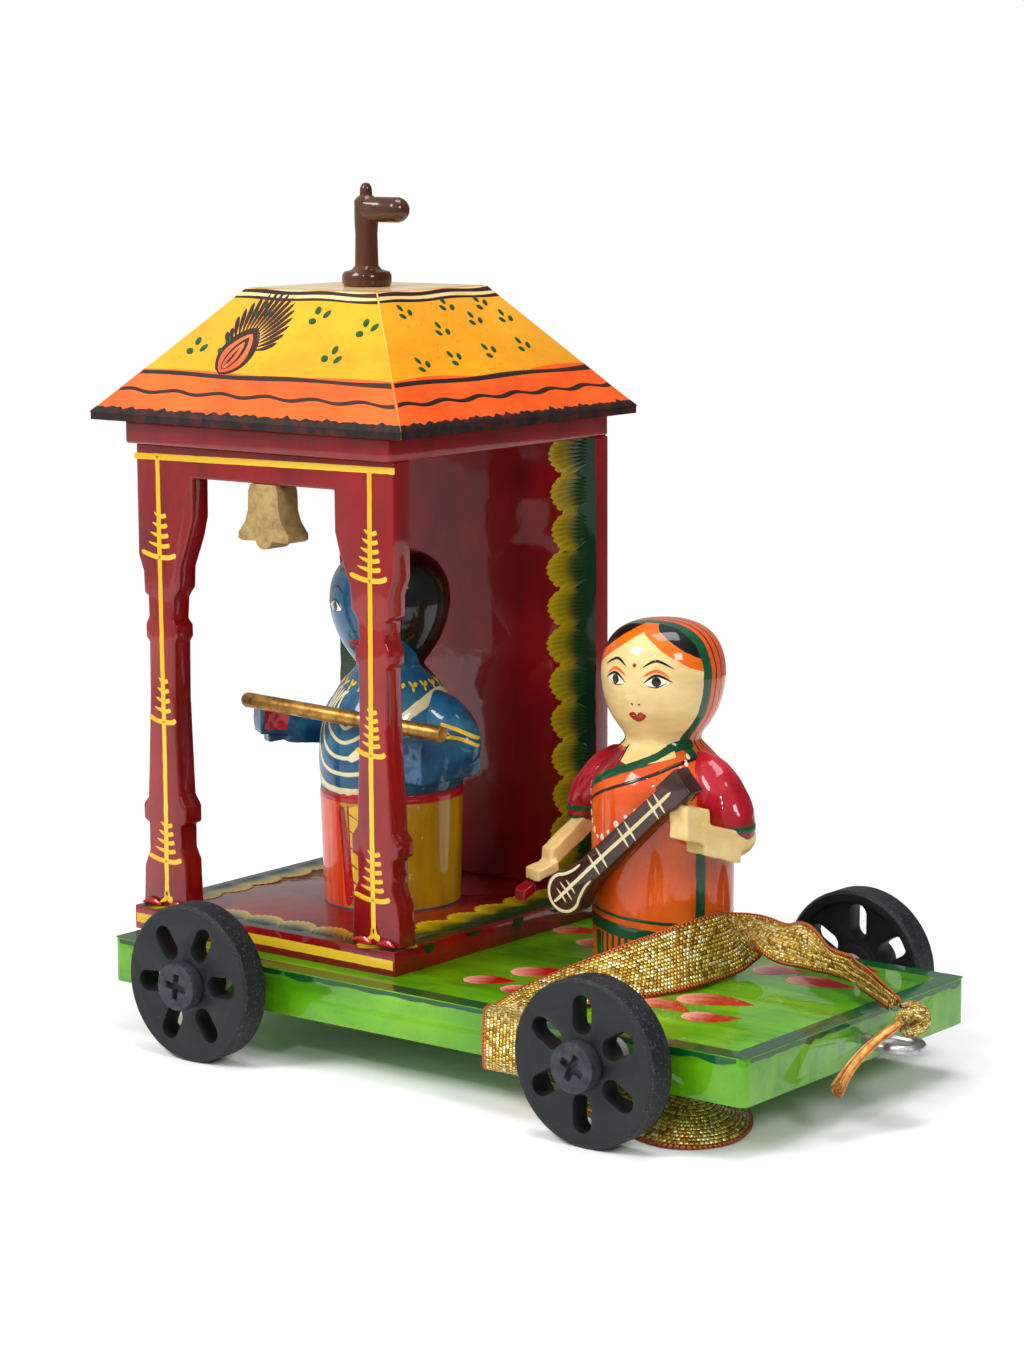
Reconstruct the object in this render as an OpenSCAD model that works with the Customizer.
// Painted wooden pull-along toy: a four-wheeled board that carries a small
// pavilion with a turned flute player inside and a turned lute player in front.
// Origin: centre of the footprint at floor level. +X is the pulling direction.

/* [Base board] */
// Length of the board along the pulling direction
board_len = 208; // [200:1:216]
// Width of the board
board_wid = 101; // [98:1:104]
// Thickness of the board
board_thick = 12; // [11:0.5:14]
// Radius of the board's four upright corners
board_corner = 2.5; // [1:0.5:4]

/* [Wheels] */
// Radius of a wheel
wheel_r = 21; // [19:0.5:21]
// Width of a wheel's tread
wheel_wid = 8.6; // [7:0.1:9]
// Gap between the board's side and a wheel, taken up by the spacer
wheel_gap = 5; // [4.5:0.1:6]
// Rear end of the board to the rear axle
rear_axle = 40; // [35:1:45]
// Rear end of the board to the front axle
front_axle = 170; // [165:1:175]
// Depth of the axle centres below the top of the board
axle_drop = 4.5; // [4:0.1:6]
// Radius of an axle screw's shank
screw_r = 2; // [1.5:0.1:2.5]
// Radius of an axle screw's head
screw_head_r = 6.3; // [5:0.1:7]
// Length of an axle screw's head
screw_head_len = 4; // [3:0.1:5]
// Running clearance between a shank and its wheel, on the radius
wheel_clear = 0.05; // [0.02:0.01:0.1]

/* [Pavilion] */
// Side of the square floor and ceiling boards
pav_side = 93; // [90:1:94]
// How far the pavilion stands out behind the board's rear end
pav_overhang = 2.5; // [0:0.5:3]
// Distance from the board's right side to the pavilion
pav_inset = 11.5; // [10:0.5:12]
// Thickness of the floor board
floor_thick = 6.5; // [5:0.5:8]
// Height of the walls between the floor and the ceiling board
wall_high = 127.3; // [120:0.1:135]
// Thickness of the ceiling board
ceiling_thick = 6.3; // [5:0.1:8]
// Thickness of the sawn arch board
arch_thick = 6.8; // [5:0.1:8]
// Height of the lintel above the arch opening
lintel_high = 8.5; // [7:0.5:10]
// Thickness of the closed wall
back_thick = 5.7; // [5:0.1:7]

/* [Roof] */
// Length of the eaves along the pulling direction
eave_len = 109; // [104:1:114]
// Width of the eaves
eave_wid = 100; // [96:1:104]
// Side of the flat square on top
roof_top = 46; // [40:1:50]
// Height of the roof block
roof_high = 35; // [30:1:38]
// Height of the lip under the widest line of the eaves
eave_lip = 2.2; // [1:0.1:3]
// How far the eaves are set towards the rear
eave_shift = 1.2; // [0:0.1:2]

/* [Dolls] */
// Radius of the flute player's skirt at the waist
flute_doll_r = 19.7; // [18:0.1:20]
// Height of the flute player
flute_doll_high = 97.7; // [94:0.1:100]
// Radius of the lute player's robe
lute_doll_r = 18.8; // [18:0.1:20]
// Height of the lute player
lute_doll_high = 90.6; // [88:0.1:94]

/* [Pull ribbon] */
// Width of the woven ribbon
ribbon_wid = 17; // [14:0.5:18]
// Thickness allowed for the ribbon
ribbon_thick = 0.6; // [0.5:0.1:1]

/* [Hidden] */
$fn = 64;

// Levels above the floor
deck_z = wheel_r + axle_drop;
axle_z = wheel_r;
floor_z = deck_z + floor_thick;
ceiling_z = floor_z + wall_high;
roof_z = ceiling_z + ceiling_thick;
roof_top_z = roof_z + roof_high;

// Places along X: the origin is midway between the rear eave and the tip of the pull eye
eye_len = 17;
rear_to_eave = eave_len / 2 + eave_shift - (pav_side / 2 - pav_overhang);
board_x = -(board_len + eye_len - rear_to_eave) / 2;
pav_x = board_x + pav_side / 2 - pav_overhang;
pav_y = -board_wid / 2 + pav_inset + pav_side / 2;
arch_y = pav_y - pav_side / 2 + 2.8;
side_y = board_wid / 2;

// Axle fittings
spacer_len = wheel_gap - 0.3;
spacer_r = 4.2;
screw_end = 0.3;
screw_bite = 16;
hub_face = wheel_gap + wheel_wid + screw_end;

// Doll centres, seen from above
flute_doll = [board_x + 48, 11];
lute_doll = [board_x + 131.8, 22.5];
skirt_high = 31;

// Pull eye
eye_x = board_x + board_len;
eye_y = 2;
eye_z = deck_z - 6;
wire_r = 1.3;
eye_ring_w = 4.6;

// Moves children to the board's rear end, on its centre line, at the top of the board
module on_deck(x = 0, y = 0, z = 0) {
    translate([board_x + x, y, deck_z + z]) children();
}

// A plate with rounded upright corners
module rounded_plate(size, r) {
    linear_extrude(size.z) union() {
        square([size.x - 2 * r, size.y], center = true);
        square([size.x, size.y - 2 * r], center = true);
        for (sx = [-1, 1], sy = [-1, 1])
            translate([sx * (size.x / 2 - r), sy * (size.y / 2 - r)]) circle(r);
    }
}

// Points of a smooth curve through hand-set points
function curve_point(a, b, c, d, t) =
    0.5 * ((2 * b) + (c - a) * t + (2 * a - 5 * b + 4 * c - d) * t * t + (3 * b - a - 3 * c + d) * t * t * t);
function smooth(pts, steps) = [
    for (i = [0 : len(pts) - 2], k = [0 : steps - 1])
        curve_point(pts[max(i - 1, 0)], pts[i], pts[i + 1], pts[min(i + 2, len(pts) - 1)], k / steps),
    pts[len(pts) - 1]
];

// ---------------------------------------------------------------- running gear

module base_board() {
    color("yellowgreen") difference() {
        translate([board_x + board_len / 2, 0, deck_z - board_thick])
            rounded_plate([board_len, board_wid, board_thick], board_corner);
        for (x = [rear_axle, front_axle], s = [-1, 1])
            translate([board_x + x, s * side_y, axle_z]) rotate([s * 90, 0, 0])
                cylinder(r = screw_r, h = screw_bite);
        translate([eye_x, eye_y, eye_z]) rotate([0, -90, 0]) cylinder(r = wire_r, h = 12);
        nail_holes(deck_z - board_thick, board_thick);
        doll_holes(deck_z - board_thick, board_thick);
    }
}

// A wheel on the right side (side = -1) or the left side (side = 1)
module wheel(x, side, turn) {
    color("darkslategray") translate([board_x + x, side * (side_y + wheel_gap), axle_z])
        rotate([side * -90, 0, 0]) difference() {
            rotate_extrude() polygon([
                [0, 0], [wheel_r - 0.8, 0], [wheel_r, 0.8], [wheel_r, wheel_wid - 0.8],
                [wheel_r - 0.8, wheel_wid], [0, wheel_wid]
            ]);
            translate([0, 0, -1]) cylinder(r = screw_r + wheel_clear, h = wheel_wid + 2);
            for (k = [0 : 5]) rotate(turn + 60 * k) wheel_slot();
            translate([0, 0, -0.01]) inner_recess();
        }
}

// One of the six round-ended slots through a wheel's web
module wheel_slot() {
    slot_r = 2.7;
    for (r = [10.2, 14.3]) translate([r, 0, -1]) cylinder(r = slot_r, h = wheel_wid + 2);
    translate([10.2, -slot_r, -1]) cube([4.1, 2 * slot_r, wheel_wid + 2]);
}

// Shallow ring turned out of the wheel's inner face
module inner_recess() {
    difference() {
        cylinder(r = 18, h = 2.5);
        translate([0, 0, -1]) cylinder(r = 6.5, h = 5);
    }
}

module axle_screw(x, side) {
    cross_len = 7;
    cross_wid = 1.9;
    cross_deep = 2;
    color("dimgray") translate([board_x + x, side * side_y, axle_z]) rotate([side * -90, 0, 0]) {
        difference() {
            union() {
                translate([0, 0, -screw_bite]) cylinder(r = screw_r, h = screw_bite + hub_face);
                translate([0, 0, hub_face]) cylinder(r = screw_head_r, h = screw_head_len);
            }
            for (a = [0, 90]) rotate(a)
                translate([-cross_len / 2, -cross_wid / 2, hub_face + screw_head_len - cross_deep])
                    cube([cross_len, cross_wid, cross_deep + 1]);
        }
    }
}

// The bush that holds a wheel off the board
module spacer(x, side) {
    color("silver") translate([board_x + x, side * side_y, axle_z]) rotate([side * -90, 0, 0])
        difference() {
            cylinder(r = spacer_r, h = spacer_len);
            translate([0, 0, -1]) cylinder(r = screw_r, h = spacer_len + 2);
        }
}

module pull_eye() {
    stem = 2;
    bend_r = eye_ring_w + wire_r;
    run = eye_len - stem - 2 * bend_r;
    color("lightgray") translate([eye_x, eye_y, eye_z]) {
        rotate([0, 90, 0]) translate([0, 0, -12]) cylinder(r = wire_r, h = 12 + stem + 0.5);
        translate([stem + bend_r, 0, 0]) {
            rotate([0, 0, 90]) rotate_extrude(angle = 180) translate([eye_ring_w, 0]) circle(wire_r);
            translate([run, 0, 0]) rotate([0, 0, -90])
                rotate_extrude(angle = 180) translate([eye_ring_w, 0]) circle(wire_r);
            for (s = [-1, 1]) translate([0, s * eye_ring_w, 0]) rotate([0, 90, 0])
                cylinder(r = wire_r, h = run);
        }
    }
}

// ---------------------------------------------------------------- pavilion

// Where the four nails go up through the board into the pavilion floor
nail_r = 0.9;
nail_reach = 5;
nail_inset = 14;
module nail_spots() {
    for (sx = [-1, 1], sy = [-1, 1])
        translate([pav_x + sx * (pav_side / 2 - nail_inset), pav_y + sy * (pav_side / 2 - nail_inset), 0])
            children();
}
module nail_holes(z, h) {
    translate([0, 0, z]) {
        nail_spots() cylinder(r = nail_r, h = h);
        nail_spots() cylinder(r = nail_r + 1.1, h = 1);
    }
}

// Where a screw goes up into each doll from below
doll_screw_r = 1.5;
module doll_spots() {
    for (p = [flute_doll, lute_doll]) translate([p.x, p.y, 0]) children();
}
module doll_holes(z, h) {
    translate([0, 0, z]) {
        doll_spots() cylinder(r = doll_screw_r, h = h);
        doll_spots() cylinder(r = 3, h = 2);
    }
}

module pavilion_nails() {
    color("silver") translate([0, 0, deck_z - board_thick]) nail_spots() {
        cylinder(r = nail_r, h = board_thick + nail_reach);
        cylinder(r = nail_r + 1.1, h = 1);
    }
}

module doll_screws() {
    color("silver") translate([0, 0, deck_z - board_thick]) {
        translate([flute_doll.x, flute_doll.y, 0]) {
            cylinder(r = doll_screw_r, h = board_thick + floor_thick + 12);
            cylinder(r = 3, h = 2);
        }
        translate([lute_doll.x, lute_doll.y, 0]) {
            cylinder(r = doll_screw_r, h = board_thick + 12);
            cylinder(r = 3, h = 2);
        }
    }
}

module pavilion_floor() {
    color("firebrick") difference() {
        translate([pav_x - pav_side / 2, pav_y - pav_side / 2, deck_z])
            cube([pav_side, pav_side, floor_thick]);
        translate([0, 0, deck_z - 1]) nail_spots() cylinder(r = nail_r, h = nail_reach + 1);
        translate([flute_doll.x, flute_doll.y, deck_z - 1]) cylinder(r = doll_screw_r, h = floor_thick + 2);
    }
}

// Outline of a pillar: distance in from the arch board's end, height above the floor board.
// Both sides are listed from the foot upwards.
pillar_outer = [[0, 0], [0.6, 11], [2.5, 15.5], [2.5, 23], [0.6, 24], [0.6, 28.2], [2.4, 30.3], [3.9, 58],
                [4.1, 73.4], [2.9, 74.4], [2.9, 78.2], [4.1, 80.3], [4, 85.8], [2.6, 86.6], [2.4, 92.5],
                [0.7, 97], [0.7, wall_high]];
pillar_inner = [[16.4, 0], [16.2, 7], [16, 13.5], [14.4, 16.7], [14.4, 23.2], [16.3, 24], [16.3, 28.6],
                [14.3, 31.5], [13.2, 58.5], [13.4, 73.6], [14.5, 75], [14.4, 78.3], [12.9, 79.8],
                [13.4, 85.7], [15.6, 88.6], [15.9, 94.2], [19.3, 102.5], [20.8, 108],
                [20.9, wall_high - lintel_high]];

function flipped(pts) = [for (i = [len(pts) - 1 : -1 : 0]) [-pts[i].x, pts[i].y]];
function backwards(pts) = [for (i = [len(pts) - 1 : -1 : 0]) pts[i]];

module arch_frame() {
    half = pav_side / 2 - 0.5;
    outer = [for (p = pillar_outer) [p.x - half, p.y]];
    inner = [for (p = pillar_inner) [p.x - half, p.y]];
    color("brown") translate([pav_x, arch_y + arch_thick, floor_z]) rotate([90, 0, 0])
        linear_extrude(arch_thick) polygon(concat(
            outer, flipped(outer), backwards(flipped(inner)), backwards(inner)
        ));
}

module back_wall() {
    color("darkred") translate([pav_x - pav_side / 2, pav_y + pav_side / 2 - back_thick, floor_z])
        cube([pav_side, back_thick, wall_high]);
}

module ceiling_board() {
    color("brown") translate([pav_x - pav_side / 2, pav_y - pav_side / 2, ceiling_z])
        cube([pav_side, pav_side, ceiling_thick]);
}

// Cross-section of the hipped roof block, from eave to eave
function roof_section(width, shift) = [
    [-(width / 2 - 1.2) - shift, 0], [width / 2 - 1.2 - shift, 0], [width / 2 - shift, eave_lip],
    [roof_top / 2, roof_high], [-roof_top / 2, roof_high], [-width / 2 - shift, eave_lip]
];

peg_r = 2;
peg_deep = 12;
module roof() {
    color("gold") translate([pav_x, pav_y, roof_z]) difference() {
        intersection() {
            rotate([90, 0, 0]) linear_extrude(eave_wid + 2, center = true)
                polygon(roof_section(eave_len, eave_shift));
            rotate([90, 0, 90]) linear_extrude(eave_len + 6, center = true) polygon(roof_section(eave_wid, 0));
        }
        translate([0, 0, roof_high - peg_deep]) cylinder(r = peg_r, h = peg_deep + 1);
    }
}

module finial_peg() {
    color("burlywood") translate([pav_x, pav_y, roof_top_z - peg_deep]) cylinder(r = peg_r, h = peg_deep + 6);
}

module flag_finial() {
    stem_r = 3.2;
    arm_r = 3.4;
    arm_z = 20.6;
    arm_len = 10.8;
    color("saddlebrown") translate([pav_x, pav_y, roof_top_z]) difference() {
        union() {
            rotate_extrude() polygon([
                [0, 0], [6.2, 0], [6.7, 1], [6.7, 3], [6.2, 4], [4.2, 4.5], [stem_r, 5.6],
                [stem_r - 0.2, 14], [stem_r, 17], [stem_r, 23], [2.3, 24], [1.7, 24.4],
                [1.6, 26.4], [1, 27.5], [0, 27.8]
            ]);
            translate([0, 0, arm_z]) rotate([0, 90, 0]) cylinder(r = arm_r, h = arm_len);
            translate([arm_len, 0, arm_z]) sphere(r = arm_r);
        }
        translate([0, 0, -1]) cylinder(r = peg_r, h = 7);
    }
}

// Flat sawn bell with its clapper, glued under the lintel
bell_thick = 8;
bell_high = 17.2;
module bell() {
    clapper_r = 3;
    half = concat(
        [[4.4, 0], [5.2, -2], [5.4, -7], [6.4, -10], [8.8, -13], [8.9, -14.6], [7.6, -15.2], [3.2, -15]],
        [for (a = [-10 : -20 : -90]) [clapper_r * cos(a), clapper_r - bell_high + clapper_r * sin(a)]]
    );
    color("darkkhaki") translate([pav_x + 1, arch_y + arch_thick / 2, floor_z + wall_high - lintel_high])
        rotate([90, 0, 0]) linear_extrude(bell_thick, center = true) polygon(concat(half, flipped(half)));
}

// ---------------------------------------------------------------- dolls

// Turned profile of the flute player: radius and height above the pavilion floor
flute_profile = [
    [0, 0], [flute_doll_r - 1.2, 0], [flute_doll_r - 0.9, 0.8], [flute_doll_r, 29.6], [flute_doll_r - 0.4, 30.6],
    [flute_doll_r - 0.7, 31.2], [flute_doll_r, 33], [flute_doll_r + 0.3, 37], [flute_doll_r + 0.1, 43],
    [flute_doll_r - 0.8, 49], [flute_doll_r - 2.6, 54.5], [flute_doll_r - 5.4, 59.5], [11.4, 63],
    [9.6, 65], [9.6, 66.4], [11.4, 69], [13.6, 72.5], [15.4, 77], [16.4, 81.5], [16.5, 85], [15.8, 89],
    [13.8, 92.8], [10.6, 95.6], [6, 97.2], [0, flute_doll_high]
];

// Turned profile of the lute player: radius and height above the board
lute_profile = [
    [0, 0], [lute_doll_r - 0.8, 0], [lute_doll_r - 0.4, 0.8], [lute_doll_r, 20], [lute_doll_r + 0.1, 40],
    [lute_doll_r - 0.2, 47], [lute_doll_r - 1.6, 50.6], [lute_doll_r - 4.6, 54], [11.6, 56.8],
    [10.2, 58.6], [10.6, 60.6], [12.6, 63.4], [14.6, 67], [15.9, 71.5], [16.4, 76], [16, 80.5],
    [14.3, 84.8], [11.2, 88], [6.4, 90], [0, lute_doll_high]
];

module flute_body() {
    translate([flute_doll.x, flute_doll.y, floor_z]) rotate_extrude() polygon(flute_profile);
}
module flute_player() {
    color("steelblue") difference() {
        flute_body();
        translate([flute_doll.x, flute_doll.y, floor_z - 1]) cylinder(r = doll_screw_r, h = 13);
    }
}

module lute_body() {
    translate([lute_doll.x, lute_doll.y, deck_z]) rotate_extrude() polygon(lute_profile);
}
module lute_player() {
    color("darkorange") difference() {
        lute_body();
        translate([lute_doll.x, lute_doll.y, deck_z - 1]) cylinder(r = doll_screw_r, h = 13);
    }
}

// A round-ended limb between two points
module limb(a, b, r) {
    d = b - a;
    long = norm(d);
    translate(a) rotate([0, acos(d.z / long), atan2(d.y, d.x)]) rotate_extrude() polygon(concat(
        [for (t = [-90 : 15 : 0]) [r * cos(t), r * sin(t)]],
        [for (t = [0 : 15 : 90]) [r * cos(t), long + r * sin(t)]]
    ));
}

// A square-sawn limb between two points, its height kept upright
module sawn_limb(a, b, wide, high) {
    d = b - a;
    long = norm([d.x, d.y]);
    translate(a) rotate([0, 0, atan2(d.y, d.x)]) multmatrix([
        [1, 0, 0, 0], [0, 1, 0, 0], [d.z / long, 0, 1, 0], [0, 0, 0, 1]
    ]) translate([0, -wide / 2, -high / 2]) cube([long, wide, high]);
}

module flute_player_right_arm() {
    color("steelblue") difference() {
        translate([flute_doll.x, flute_doll.y, floor_z]) {
            limb([-17, 3, 53], [-22, 2, 46], 6);
            sawn_limb([-32.5, -19.6, 48.6], [-20, 2, 43.5], 8, 9);
        }
        flute_body();
        flute_rod();
    }
}

module flute_player_left_arm() {
    color("steelblue") difference() {
        translate([flute_doll.x, flute_doll.y, floor_z]) {
            limb([16.5, 2, 53], [24.5, 0, 43], 7);
            sawn_limb([20.4, -17.4, 43], [24.5, 1, 41.6], 9, 12);
        }
        flute_body();
        flute_rod();
    }
}

flute_r = 2.1;
module flute_rod() {
    tilt = -2;
    long = 69;
    translate([flute_doll.x - 32.5, flute_doll.y - flute_doll_r - 0.5 - flute_r, floor_z + 55.2])
        rotate([0, 90 - tilt, 0]) {
            cylinder(r = flute_r, h = long);
            sphere(r = flute_r);
        }
}
module flute() {
    color("peru") flute_rod();
}

module lute_player_right_arm() {
    color("burlywood") difference() {
        translate([lute_doll.x, lute_doll.y, deck_z]) {
            limb([-16.5, -1, 46], [-21.5, -3, 38], 6.5);
            sawn_limb([-29, -18, 19], [-23.5, -4, 33], 6, 7);
        }
        lute_body();
        lute_board();
    }
}

module lute_player_left_arm() {
    color("burlywood") difference() {
        translate([lute_doll.x, lute_doll.y, deck_z]) {
            limb([17, -1, 47], [23.5, -4, 37], 7);
            sawn_limb([20.5, -23, 43], [27.5, -4, 33], 9, 10);
        }
        lute_body();
        lute_board();
    }
}

lute_thick = 6;
module lute_board() {
    gourd_r = 6;
    neck_len = 42.5;
    head_len = 8.2;
    translate([lute_doll.x - 13.6, lute_doll.y - lute_doll_r - 0.5, deck_z + 19.7])
        rotate([90, -42, 0]) linear_extrude(lute_thick) polygon(concat(
            [for (a = [50 : 20 : 310]) [gourd_r * cos(a), gourd_r * sin(a)]],
            [[10, -3.5], [neck_len, -3.1], [neck_len, -3.9], [neck_len + head_len, -3.9]],
            [[neck_len + head_len, 3.9], [neck_len, 3.9], [neck_len, 3.1], [10, 3.5]]
        ));
}
module lute() {
    color("saddlebrown") lute_board();
}

// ---------------------------------------------------------------- pull ribbon

// Route of the ribbon from the knot back over the board, down its right side and along
// the floor under the board: x from the board's rear end, y from its centre line, z above
// the board's top, then the direction across the ribbon, then the ribbon's width.
ribbon_route = [
    [216, 3, 3.8, 0, 1, 0.2, 3.6],
    [208, 9, 4.5, -0.5, 0.8, 0.3, 4.2],
    [200, 14, 5.6, -0.6, 0.7, 0.4, 5.2],
    [192, 19, 6.4, -0.7, 0.5, 0.45, 6.2],
    [184, 19, 7.5, -0.6, 0.5, 0.6, 7.6],
    [177, 20, 9.5, -0.3, 0.6, 0.8, 12],
    [169, 22, 10, -0.4, 0.8, 0.5, 13],
    [163, 22, 11.5, -0.4, 0.9, 0.3, 13],
    [159, 19.5, 10.5, -0.5, 0.7, 0.6, 16],
    [159, 14, 9.1, -0.2, 0.4, 0.8, 17],
    [157, -1, 8.3, -0.3, 0.5, 0.75, 17],
    [152, -11, 6.5, -0.4, 0.6, 0.7, 17],
    [145, -23, 4.5, -0.6, 0.7, 0.4, 17],
    [140, -38, 2.3, -0.9, 0.3, 0.2, 17],
    [139, -48.5, 1, -1, 0, 0, 17],
    [138.6, -51.2, 0.6, -1, 0, 0, 17],
    [138.5, -51.7, -1.5, -1, 0, 0, 17],
    [138, -51.7, -12, -1, 0, 0, 17],
    [138, -50.5, -15.2, -1, 0, 0, 17],
    [139, -44, -16.2, -1, 0.2, 0, 17],
    [144, -37, -18, -0.8, 0.5, 0.2, 17],
    [152, -35, -20, -0.2, 0.8, 0.4, 17],
    [163, -38, -19.7, 0.25, 0.8, 0.5, 17],
    [175, -43, -19.7, 0.2, 0.75, 0.6, 17],
    [186, -45, -19.7, -0.3, 0.75, 0.6, 17],
    [190.5, -38, -19.7, -0.75, 0.1, 0.6, 17],
    [186, -27, -19.9, -0.6, -0.5, 0.5, 17],
    [173, -15, -21, -0.35, -0.85, 0.35, 17],
    [157, -6, -23, 0, -1, 0.12, 17],
    [140, -2, -24.8, 0, -1, 0, 17],
    [75, 0, -24.8, 0, -1, 0, 17],
    [56, 0, -24.8, 0, -1, 0, 17],
    [50, 0, -22.5, 0, -1, 0, 17],
    [56, 1, -20, 0, -1, 0, 17],
    [75, 3, -23, 0, -1, 0, 17],
    [90, 4, -24, 0, -1, 0, 17],
    [125, 5, -24, 0, -1, 0, 17]
];

// One ring of the ribbon's swept solid
function ring(p, q, section) =
    let (
        along = (q - p) / norm(q - p),
        side0 = [section[3], section[4], section[5]],
        side1 = side0 - along * (side0 * along),
        side = side1 / norm(side1),
        up = cross(along, side),
        c = [section[0], section[1], section[2]],
        w = section[6] / 2,
        h = ribbon_thick / 2
    )
    [c + side * w - up * h, c + side * w + up * h, c - side * w + up * h, c - side * w - up * h];

module swept_band(sections) {
    n = len(sections);
    c = [for (s = sections) [s[0], s[1], s[2]]];
    rings = [for (i = [0 : n - 1]) ring(c[max(i - 1, 0)], c[min(i + 1, n - 1)], sections[i])];
    faces = concat(
        [[0, 1, 2, 3]],
        [for (i = [0 : n - 2], k = [0 : 3]) [i * 4 + k, (i + 1) * 4 + (k + 1) % 4, i * 4 + (k + 1) % 4]],
        [for (i = [0 : n - 2], k = [0 : 3]) [i * 4 + k, (i + 1) * 4 + k, (i + 1) * 4 + (k + 1) % 4]],
        [[(n - 1) * 4 + 3, (n - 1) * 4 + 2, (n - 1) * 4 + 1, (n - 1) * 4]]
    );
    polyhedron(points = [for (r = rings) each r], faces = faces, convexity = 10);
}

module ribbon() {
    color("goldenrod") on_deck() swept_band(smooth(ribbon_route, 2));
}

knot = [220.8, 5, 1];
module ribbon_knot() {
    color("goldenrod") on_deck(knot.x, knot.y, knot.z) sphere(r = 4);
}

module ribbon_tail() {
    color("chocolate") on_deck() limb([218, -1, -1], [214, -19, -13], 1.8);
}

base_board();
pavilion_floor();
arch_frame();
back_wall();
ceiling_board();
roof();
flag_finial();
bell();
flute_player();
flute_player_right_arm();
flute_player_left_arm();
flute();
lute_player();
lute_player_right_arm();
lute_player_left_arm();
lute();
wheel(front_axle, -1, 30);  // wheel_front_right
wheel(front_axle, 1, 30);  // wheel_front_left
wheel(rear_axle, -1, 4);  // wheel_rear_right
wheel(rear_axle, 1, 4);  // wheel_rear_left
axle_screw(front_axle, -1);  // axle_screw_front_right
axle_screw(front_axle, 1);  // axle_screw_front_left
axle_screw(rear_axle, -1);  // axle_screw_rear_right
axle_screw(rear_axle, 1);  // axle_screw_rear_left
spacer(front_axle, -1);  // spacer_front_right
spacer(front_axle, 1);  // spacer_front_left
spacer(rear_axle, -1);  // spacer_rear_right
spacer(rear_axle, 1);  // spacer_rear_left
pavilion_nails();
doll_screws();
finial_peg();
pull_eye();
ribbon();
ribbon_knot();
ribbon_tail();
